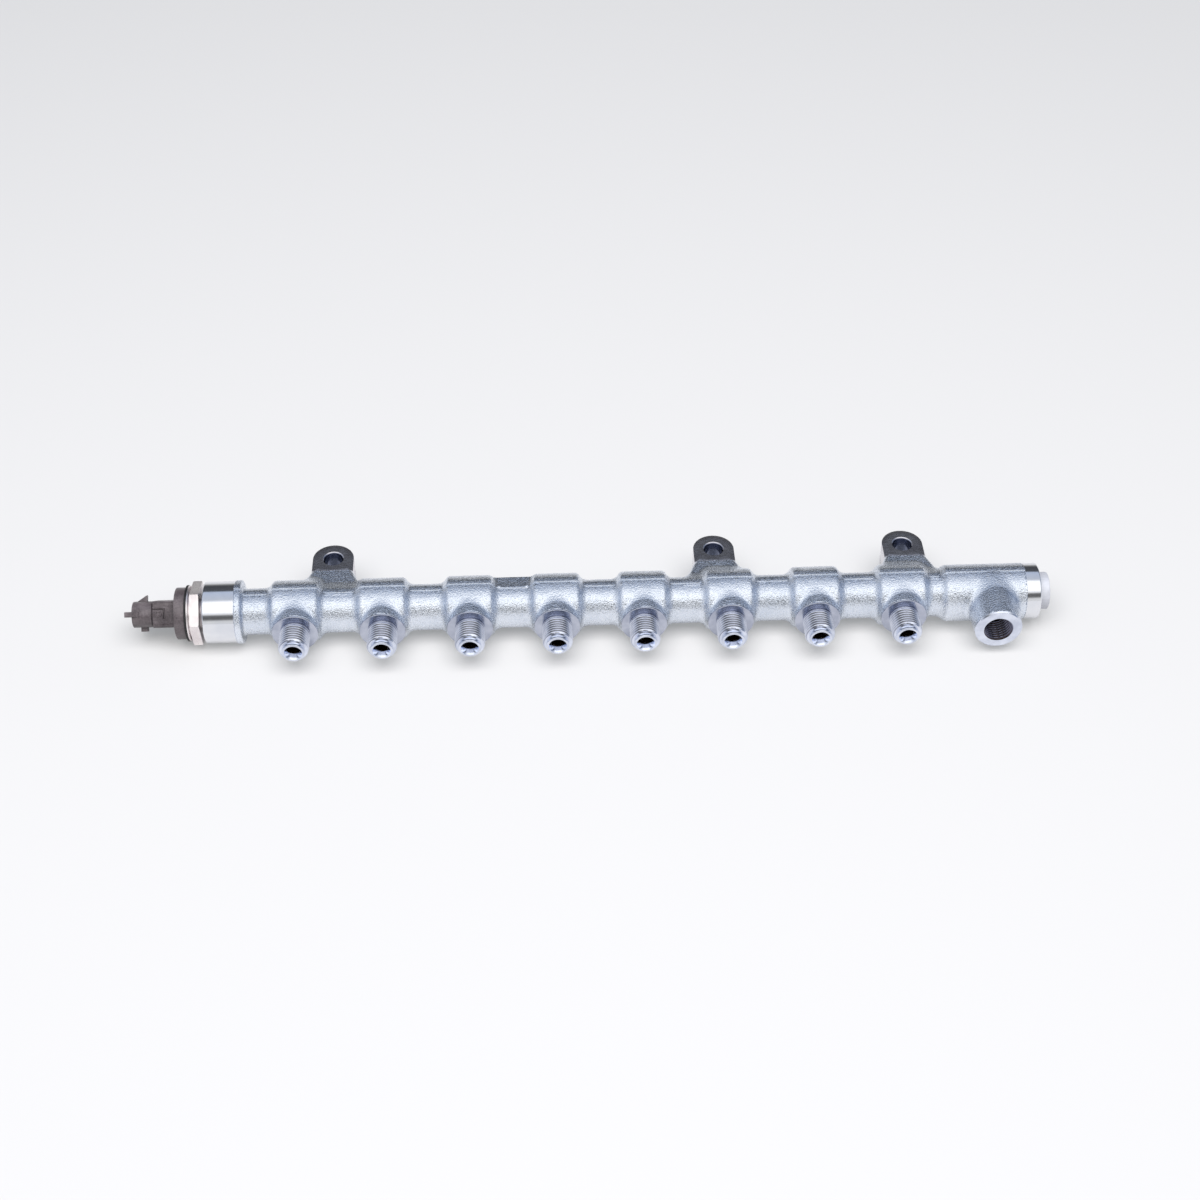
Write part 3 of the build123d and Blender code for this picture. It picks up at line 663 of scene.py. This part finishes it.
def nippleShell(x):
    # Boss face, relief, thread and pilot outside; sealing cone, bore and seat inside. The bore is marked
    # for dark painted shade, and the boss with its face for a lighter painted shade.
    form, steps = outletForm, shellForm["roundSteps"]
    face, relief, reliefEnd = form["face"], form["reliefRadius"], form["reliefEnd"]
    thread, threadEnd, nose = form["threadRadius"], form["threadEnd"], form["noseEnd"]
    bore, drill = form["boreRadius"], form["drillRadius"]
    pocket = bore + shellForm["pocketWall"]
    inner = railForm["boreRadius"] - shellForm["boreGap"][1]
    coneLength = (form["coneRadius"] - bore) / math.tan(math.radians(form["coneAngle"]))
    side, start = bossSide(form["bossRadius"], form, pocket)
    (stepRound, mouthRound), (clean, oily) = form["tipRounds"], form["boreEnds"]
    foot = rounded(start + [(face, side), (face, relief), (reliefEnd, relief)],
                   [0, 0, 0, form["edge"], form["rootFillet"], 0], 6, close=False)
    step, stepRadius = threadEnd + form["endChamfer"], thread - form["endChamfer"]
    profile = [(reliefEnd, relief), (reliefEnd + form["lead"], thread), (threadEnd, thread),
               (step, stepRadius)]
    tip = rounded([(step, stepRadius), (step, form["pilotRadius"]), (nose, form["pilotRadius"]),
                   (nose, form["coneRadius"]), (nose - coneLength - clean, bore)],
                  [0, stepRound, form["pilotEdge"], mouthRound, 0], 6, close=False)
    inside = np.array([(nose - coneLength - oily, bore), (form["seat"], bore), (form["seat"], drill),
                       (inner, drill), (inner, pocket), start[0]])
    angle = around(steps)
    parts = [threadShell(x, reliefEnd, step, profile)]
    for path, deep in ((foot, 0), (np.concatenate([tip, inside]), len(inside) - 2)):
        grid = turnOut(x, path[:, :1], path[:, 1:], angle)
        row = np.arange(len(path))[:, None]
        bored = (row >= len(tip)) & (row < len(tip) + deep)
        # Painted shade: dark brown in the bore's rows, and a lighter navy on the boss and its face.
        marks = np.repeat(np.where(bored, 1.0, 0.0 if deep else threadForm["paintedFaceShade"]), steps, axis=1)
        parts.append((*shellOf(grid), marks.reshape(-1)))
    return parts


def inletShell():
    # Face ring of the inlet boss, chamfered inner thread, sealing cone and drilling. The thread, the cone
    # and the drilling are marked for painted shade, with the thread darker in its grooves. The thread's
    # groove follows the phase reach / pitch - angle / full turn.
    form, steps = portForm, shellForm["roundSteps"]
    face, edge, core, threadEnd = form["face"], form["edge"], form["coreRadius"], form["threadEnd"]
    pocket = core + form["threadDepth"] + shellForm["pocketWall"]
    inner = railForm["boreRadius"] - shellForm["boreGap"][1]
    side, start = bossSide(form["faceRadius"], form, pocket)
    thread = np.arange(face - form["mouthChamfer"], threadEnd, -form["threadStep"])
    mouth = core + form["mouthChamfer"]
    rimRound, (wide, narrow) = form["rimRound"], form["mouthRim"]
    outer = rounded(start + [(face - edge, side), (face, side - edge), (face, mouth + wide)],
                    [0, 0, 0, rimRound, rimRound, 0], 5, close=False)
    bore = np.stack([thread, np.full(len(thread), core)], axis=-1)
    coneFoot = threadEnd - (core - form["coneEnd"]) / math.tan(math.radians(form["coneAngle"]))
    inside = np.array([(threadEnd, core), (coneFoot, form["coneEnd"]), (coneFoot, form["drillRadius"]),
                       (inner, form["drillRadius"]), (inner, pocket)])
    path = np.concatenate([outer, np.array([[face, mouth + narrow]]), bore, inside])
    boreStart = len(outer) + 1
    angle = around(steps)
    phase = (path[:, :1] / threadForm["pitch"] - angle / (2 * math.pi)) % 1
    crest, flank = form["crestShare"], form["flankShare"]
    groove = np.clip((1 - np.abs(phase * 2 - 1) - crest) / flank, 0, 1)
    fade = np.clip((path[:, :1] - threadEnd - form["fadeStart"]) / form["fadeLength"], 0, 1)
    threaded = np.zeros((len(path), 1))
    threaded[boreStart:boreStart + len(bore)] = 1
    radius = np.repeat(path[:, 1:], steps, axis=1) + threaded * groove * form["threadDepth"] * fade
    grid = turnOut(inletX, path[:, :1], radius, angle)
    # Painted shade: the thread is darker in its grooves, and the sealing cone and drilling are darkest.
    marks = threaded * (form["paintedThreadShade"] + form["paintedGrooveShade"] * groove)
    marks[boreStart + len(bore):-1] = 1
    return *shellOf(grid, closeRows=True), marks.reshape(-1)


endForm = {"gap": 0.02, "tuck": 0.8, "tuckEdge": 0.3}
spigotForm = {
    "mouth": 9.8, "seat": 9.0, "depth": 14.4, "edge": 0.8, "countersink": 0.8,
    "stepDrop": 0.12, "tuckDrops": (0.3, 0.5), "stepRounds": (0.1, 0.05)}
tailForm = {
    "seat": 8.1, "seatDepth": 11.5, "depth": 14, "edge": 0.9, "floorRise": 0.1,
    "stepDrop": 0.1, "tuckDrops": (0.4, 0.6)}


def turnedRing(corners, radii):
    # Closed section of a turned end, its corners rounded, swept round the bore.
    radii = list(radii) + [0] * (len(corners) - len(radii))
    path = rounded(corners, radii, 5)
    grid = turnAlong(path[:, :1], path[:, 1:], around(shellForm["roundSteps"] * 2))
    return shellOf(grid, closeRows=True)


def tuckedStep(step, way, radius, over, form):
    # The step up to the raw skin, and its tail that dips under the skin down to the bore.
    near, deep = form["tuckDrops"]
    under = step + way * endForm["tuck"]
    return [(step, radius), (step, over - form["stepDrop"]),
            (step + way * endForm["tuckEdge"], radius - near), (under, radius - deep),
            (under, railForm["boreRadius"])]


def spigotShell():
    # Turned end over the sensor: cylinder and step outside, thread seat inside.
    form, radius, seat = spigotForm, railForm["spigotRadius"], spigotForm["seat"]
    depth = spigotFace + form["depth"]
    step = tuckedStep(shoulderLeft - endForm["gap"], 1, radius, railForm["shoulderRadius"], form)
    return turnedRing([(spigotFace, form["mouth"]), (spigotFace, radius)] + step + [
        (depth, railForm["boreRadius"]), (depth, seat), (spigotFace + form["countersink"], seat)],
        [0, form["edge"], *form["stepRounds"]])


def tailShell():
    # Turned end that holds the plug.
    form, radius, seat = tailForm, railForm["tailRadius"], tailForm["seat"]
    step = tuckedStep(sectionRight + endForm["gap"], -1, radius, railForm["sectionRadius"], form)
    return turnedRing([(tailFace, seat), (tailFace, radius)] + step + [
        (tailFace - form["depth"], railForm["boreRadius"] + form["floorRise"]),
        (tailFace - form["seatDepth"], seat)], [0, form["edge"]])


def earShell(x):
    # Milled lug: at each angle the section runs from the hole's wall, which is marked for painted shade,
    # out to the outline, a half circle behind the bolt and straight sides in front of it.
    form = lugForm
    angle = around(form["steps"]).T
    sine, cosine = np.sin(angle), np.cos(angle)
    front = lugReach - form["millFront"] + form["tuck"]
    sides = form["endRadius"] / np.maximum(np.abs(cosine), 1e-6)
    reach = np.where(sine > 0, form["endRadius"], np.minimum(sides, front / np.maximum(-sine, 1e-6)))
    chamfer, edge, top, bottom = form["holeChamfer"], form["edge"], form["top"], form["bottom"]
    corner = form["edgeShare"] * edge      # where the middle of the rounded edge lies
    wall = np.full_like(reach, form["holeRadius"])
    rim, shoulder = wall + chamfer, reach - edge
    half = rim * 0.5 + shoulder * 0.5
    upper = [rim, half, shoulder, reach - corner, reach]
    radii = np.concatenate([wall, wall] + upper + upper[::-1], axis=1)
    heights = [bottom + chamfer, top - chamfer, top, top, top, top - corner, top - edge,
               bottom + edge, bottom + corner, bottom, bottom, bottom]
    grid = np.empty((form["steps"], len(heights), 3))
    grid[..., 0] = x + radii * cosine
    grid[..., 1] = lugReach + radii * sine
    grid[..., 2] = heights
    # The hole's wall gets painted shade.
    marks = np.tile(np.arange(len(heights)) < 2, form["steps"])
    return *shellOf(grid, closeRows=True), marks


def stepShell(x):
    # Milled face where the web stops: a thin plate with the web's own rounded outline.
    form, proud = lugForm, shellForm["proud"]
    wide, low, high = form["endRadius"] + proud, form["forgeBottom"] - proud, form["forgeTop"] + proud
    outline = rounded([(-wide, low), (wide, low), (wide, high), (-wide, high)], form["webRound"], 5)
    deep, hub = form["plate"], 0.01        # the hub leaves room for the end caps' fans
    depths, shares = np.array([[0, 0, deep, deep], [hub, 1, 1, hub]])[..., None]
    centre = np.array([0, (low + high) / 2])
    flat = centre + (outline - centre)[None] * shares[..., None]
    grid = np.empty((4, len(outline), 3))
    grid[..., 0] = x + flat[..., 0]
    grid[..., 1] = form["millFront"] + proud - depths
    grid[..., 2] = flat[..., 1]
    return capped(grid, gridFaces(4, len(outline)))


plugForm = {
    "head": 8.8, "edge": 0.8, "shank": 7.9, "shankChamfer": 1.6, "socket": 8.0, "depth": 5.5,
    "countersink": 0.25, "point": 0.8, "shankRound": 0.2, "neckRound": 0.15}


def plugShell():
    # Round head with a hexagon socket, and the shank in the tail: radius over x and angle, where the
    # socket's rows follow the hexagon.
    form = plugForm
    right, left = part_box("end_plug")[1].x / mm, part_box("end_plug")[0].x / mm
    shank, chamfer, head, dip = form["shank"], form["shankChamfer"], form["head"], form["countersink"]
    soft = form["shankRound"]
    outer = rounded([(left, 0), (left, shank - chamfer), (left + chamfer, shank), (tailFace, shank),
                     (tailFace, head), (right, head), (right, form["socket"])],
                    [0, soft, soft, 0, form["neckRound"], form["edge"], 0], 5, close=False)
    angle = around(shellForm["roundSteps"] * 2)
    hexagon = form["socket"] / 2 / np.cos((angle + math.pi / 6) % (math.pi / 3) - math.pi / 6)
    rows = [(right, hexagon + dip), (right - dip, hexagon), (right - form["depth"], hexagon),
            (right - form["depth"] - form["point"], 0 * hexagon)]
    grid = turnAlong(outer[:-1, :1], outer[:-1, 1:], angle)
    grid = np.concatenate([grid] + [turnAlong(np.array([[s]]), r, angle) for s, r in rows])
    return capped(grid, gridFaces(*grid.shape[:2]))


makePiece("flashLand", [landShell(1), landShell(-1)], forged)
for i, x in enumerate(outletX):
    makePiece(f"outletNipple{i + 1}", nippleShell(x), outlet, sharp=40)
makePiece("inletThread", [inletShell()], outlet, sharp=40)
makePiece("sensorSpigot", [spigotShell()], turned)
makePiece("turnedTail", [tailShell()], turned)
for i, x in enumerate(lugX):
    makePiece(f"milledLug{i + 1}", [earShell(x), stepShell(x)], milled)
makePiece("screwPlug", [plugShell()], pale, ["end_plug"])
print("rail dressed")


# The connector: side runs across its main face and out stands away from it, both from the bore, and along
# starts at the tongue's tip.
housingForm = {
    "turn": 41.0, "tongueLength": 3.2, "shroudLength": 9.2, "joint": 0.4, "jointInset": 0.9,
    "neckLength": 10.25, "flangeLength": 5.05, "flangeRadius": 12.15, "flangeEdge": 0.45,
    "shroudSide": 6.05, "shroudOut": 8.5, "wall": 1.3, "floor": 1.0, "shroudEdge": 0.4,
    "neckSide": 6.3, "neckOut": 8.0, "neckRound": 2.2, "neckEdge": 0.4, "neckFillet": 0.5,
    "skirtRadius": 10.25, "skirtWall": 1.5, "skirtRoom": 2.5, "smallRound": 0.3, "step": 0.24,
    # tongue and rib: middle and half size across, the same out of the face, start and length
    "boxes": [(0.25, 1.25, 8.1, 0.9, 0.0, 6.8), (-6.4, 1.65, 0.0, 1.5, 6.25, 3.25)],
    # latch: root and top across, half width, start and length
    "latch": (5.4, 9.1, 1.2, 3.9, 5.6),
    # cuts in the neck's face: low and high across, start and end along, depth
    "cuts": [(2.2, 2.75, 12.4, 18.75, 0.8), (-2.1, 2.75, 17.8, 18.75, 0.8),
             (3.6, 5.5, 12.4, 23.05, 1.0), (-4.9, -4.5, 12.4, 23.05, 0.3)],
    # round mark: middle across and along, middle radius, half width, height
    "ring": (0.15, 15.5, 1.3, 0.3, 0.25),
    # slits for the blades: middles out of the face, half thickness and half width
    "blades": (-4.0, 0.0, 4.0), "slit": (0.315, 0.6)}


def bar(a, b, halfA, halfB, radius):
    # Distance to a rectangle with rounded corners.
    a, b = np.abs(a) - halfA + radius, np.abs(b) - halfB + radius
    return np.hypot(np.maximum(a, 0), np.maximum(b, 0)) + np.minimum(np.maximum(a, b), 0) - radius


lengths = ("tongueLength", "shroudLength", "joint", "neckLength", "flangeLength")
mouth, shroudRight, neckLeft, flangeLeft, flangeRight = np.cumsum([housingForm[key] for key in lengths])


def housingBody(side, out, along, rho, past):
    # Flange and skirt round the bore, blocky neck, joint, and oval shroud with tongue, rib, latch and mark.
    form, small = housingForm, housingForm["smallRound"]
    flange = meet(rho - form["flangeRadius"], slab(along, flangeLeft, flangeRight), form["flangeEdge"])
    skirt = np.maximum(rho - form["skirtRadius"], np.maximum(flangeRight - 1 - along, past))
    neck = meet(bar(side, out, form["neckSide"], form["neckOut"], form["neckRound"]),
                slab(along, neckLeft, flangeLeft + 2), form["neckEdge"])
    body = np.minimum(blend(flange, neck, form["neckFillet"]), skirt)
    a, b, inset = form["shroudSide"], form["shroudOut"], form["jointInset"]
    shroud = meet(bar(side, out, a, b, a), slab(along, mouth, shroudRight), form["shroudEdge"])
    joint = np.maximum(bar(side, out, a - inset, b - inset, a - inset),
                       slab(along, shroudRight - 1, neckLeft + 1))
    body = np.minimum(body, np.minimum(shroud, joint))
    for across, halfAcross, reach, halfReach, start, length in form["boxes"]:
        box = meet(bar(side - across, out - reach, halfAcross, halfReach, small),
                   slab(along, start, start + length), small)
        body = np.minimum(body, box)
    root, top, half, start, length = form["latch"]
    climb = (top - root) / length
    latch = (side - root - (along - start) * climb) / math.hypot(1, climb)
    latch = meet(latch, slab(along, start, start + length), small)
    body = np.minimum(body, np.maximum(latch, np.maximum(np.abs(out) - half, root - side)))
    across, place, radius, half, height = form["ring"]
    ring = np.maximum(np.abs(np.hypot(side - across, along - place) - radius) - half,
                      slab(out, form["neckOut"] - 0.5, form["neckOut"] + height))
    return np.minimum(body, ring)


def housing(x, y, z):
    # The connector's body, less the socket, the skirt's hollow, the cuts in the neck's face and the slits.
    form = housingForm
    turn = math.radians(form["turn"])
    side = y * math.sin(turn) + z * math.cos(turn)
    out = z * math.sin(turn) - y * math.cos(turn)
    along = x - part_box("connector_housing")[0].x / mm
    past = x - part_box("connector_housing")[1].x / mm
    rho = np.hypot(y, z)
    body = housingBody(side, out, along, rho, past)
    a, b = form["shroudSide"] - form["wall"], form["shroudOut"] - form["wall"]
    socket = np.maximum(bar(side, out, a, b, a), slab(along, mouth - 2, shroudRight - form["floor"]))
    hollow = np.maximum(rho - form["skirtRadius"] + form["skirtWall"],
                        flangeRight - form["skirtRoom"] - along)
    body = np.maximum(np.maximum(body, -socket), -hollow)
    for low, high, start, end, depth in form["cuts"]:
        cut = np.maximum(np.maximum(slab(side, low, high), slab(along, start, end)),
                         form["neckOut"] - depth - out)
        body = np.maximum(body, -cut)
    for place in form["blades"]:
        slit = np.maximum(bar(side, out - place, *form["slit"], 0.02),
                          slab(along, shroudRight - 2, flangeRight))
        body = np.maximum(body, -slit)
    return body


left, right = (corner.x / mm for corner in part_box("connector_housing"))
spans = [(left - 1, right + 1), (-13, 13), (-13, 13)]
points, quads, normals = skinOf(housing, spans, (housingForm["step"],) * 3)
makePiece("connectorSkin", [(points, quads)], plastic, ["connector_housing"], normals)
finishes = {
    "sensor_body": steel, "sensor_gasket": rubber, "sensor_seal": softIron,
    "pressure_cell": ground, "orifice_insert": ground, "board_support": insulator,
    "circuit_board": solderResist, "terminal": tin}
for node, thing in frame["nodes"].items():
    for start, material in finishes.items():
        if node.startswith(start):
            thing.data.materials.clear()
            thing.data.materials.append(material)
print("sensor dressed")


# Brightness against the angle that climbs from the front horizon over the top to the back one, in half
# turns; a stop's last number is how blue it is.
skyForm = {
    "stops": [(0.0, 0.80, 0), (0.05, 0.75, 0), (0.085, 0.20, 0), (0.12, 0.12, 0), (0.165, 0.18, 0),
              (0.195, 0.85, 0), (0.24, 1.35, 0), (0.44, 1.35, 0), (0.50, 0.62, 0.5), (0.69, 0.58, 1),
              (0.725, 0.09, 0.5), (0.88, 0.07, 0.4), (0.94, 0.25, 0), (1.0, 0.8, 0)],
    "left": (0.62, 0.6), "right": (0.34, 1.2), "sides": (0.55, 0.95),
    "seen": (0.955, 0.955, 0.965, 1)}


def studioSky():
    # Long soft boxes over the bench, the same all along x but for dimmer sides.
    world = bpy.data.worlds.new("softStudio")
    world.use_nodes = True
    finish = Finish(world.node_tree)
    direction = finish.add("ShaderNodeTexCoord", out="Generated")
    split = world.node_tree.nodes.new("ShaderNodeSeparateXYZ")
    finish.feed(split.inputs[0], direction)
    x, y, z = (Wire(finish, split.outputs[i]) for i in range(3))
    climb = z.join("ARCTAN2", z, 0 - y) / math.pi
    near, far = skyForm["sides"]
    boxes = finish.ramp(climb, [(place, grey(value, blue)) for place, value, blue in skyForm["stops"]])
    boxes = finish.mix(finish.spread(x, 0, 1, -near, -far), boxes, grey(*skyForm["left"]))
    boxes = finish.mix(finish.spread(x, 0, 1, near, far), boxes, grey(*skyForm["right"]))
    seen = finish.add("ShaderNodeLightPath", out="Is Camera Ray")
    boxes = finish.mix(seen, boxes, skyForm["seen"])
    finish.feed(world.node_tree.nodes["Background"].inputs["Color"], boxes)
    bpy.context.scene.world = world


floorForm = {
    "half": 4.0, "diffuse": (0.40, 0.393, 0.395, 1), "glow": (0.24, 0.245, 0.245, 1),
    "mirrored": 0.8, "gap": 0.0001}


def benchFloor():
    # A wide pale floor: plain diffuse, which takes the shadows, and a glow that the camera, glass and most
    # of the mirrors see.
    material = bpy.data.materials.new("paleFloor")
    material.use_nodes = True
    tree = material.node_tree
    finish = Finish(tree)
    path = tree.nodes.new("ShaderNodeLightPath")
    camera, glossy, through = (Wire(finish, path.outputs[name]) for name in (
        "Is Camera Ray", "Is Glossy Ray", "Is Transmission Ray"))
    seen = camera + glossy * floorForm["mirrored"] + through
    diffuse = finish.add("ShaderNodeBsdfDiffuse", None, {"Color": floorForm["diffuse"]})
    glow = finish.add("ShaderNodeEmission", None, {"Color": floorForm["glow"], "Strength": seen})
    both = finish.add("ShaderNodeAddShader", None, {0: diffuse, 1: glow})
    finish.feed(tree.nodes["Material Output"].inputs["Surface"], both)
    half, level = floorForm["half"], cadBox[0].z - floorForm["gap"]
    corners = [(-half, -half, level), (half, -half, level), (half, half, level), (-half, half, level)]
    mesh = bpy.data.meshes.new("floor")
    mesh.from_pydata(corners, [], [(0, 1, 2, 3)])
    mesh.materials.append(material)
    floor = bpy.data.objects.new("floor", mesh)
    bpy.context.scene.collection.objects.link(floor)


lampForm = {"place": (0.1, -0.5, 1.3), "aim": (0.09, -0.03, 0), "size": (1.6, 1.0), "power": 28}


def topLamp():
    # One soft lamp over the front edge of the bench, turned towards its aim and unseen in mirrors.
    lamp = bpy.data.lights.new("topLamp", "AREA")
    lamp.shape, lamp.energy = "RECTANGLE", lampForm["power"]
    lamp.size, lamp.size_y = lampForm["size"]
    thing = bpy.data.objects.new("topLamp", lamp)
    bpy.context.scene.collection.objects.link(thing)
    thing.location = lampForm["place"]
    towards = Vector(lampForm["aim"]) - Vector(lampForm["place"])
    thing.rotation_euler = towards.to_track_quat("-Z", "Y").to_euler()
    thing.visible_glossy = False


cameraForm = {
    "focal": 2053.9 / 1200, "eye": (0.09769, -0.73843, 0.65429), "tilt": 42.52, "turn": -2.275,
    "filmWidth": 36}


def benchCamera():
    # Focal length is given in picture widths; tilt is down from level, in degrees.
    camera = bpy.data.cameras.new("camera")
    camera.sensor_width = cameraForm["filmWidth"]
    camera.lens = cameraForm["filmWidth"] * cameraForm["focal"]
    camera.clip_start, camera.clip_end = 0.01, 50
    eye = bpy.data.objects.new("camera", camera)
    eye.location = cameraForm["eye"]
    eye.rotation_euler = (math.radians(90 - cameraForm["tilt"]), 0, math.radians(cameraForm["turn"]))
    bpy.context.scene.collection.objects.link(eye)
    bpy.context.scene.camera = eye


studioSky()
benchFloor()
topLamp()
benchCamera()
bpy.context.scene.view_settings.view_transform = "Standard"
print("studio set")
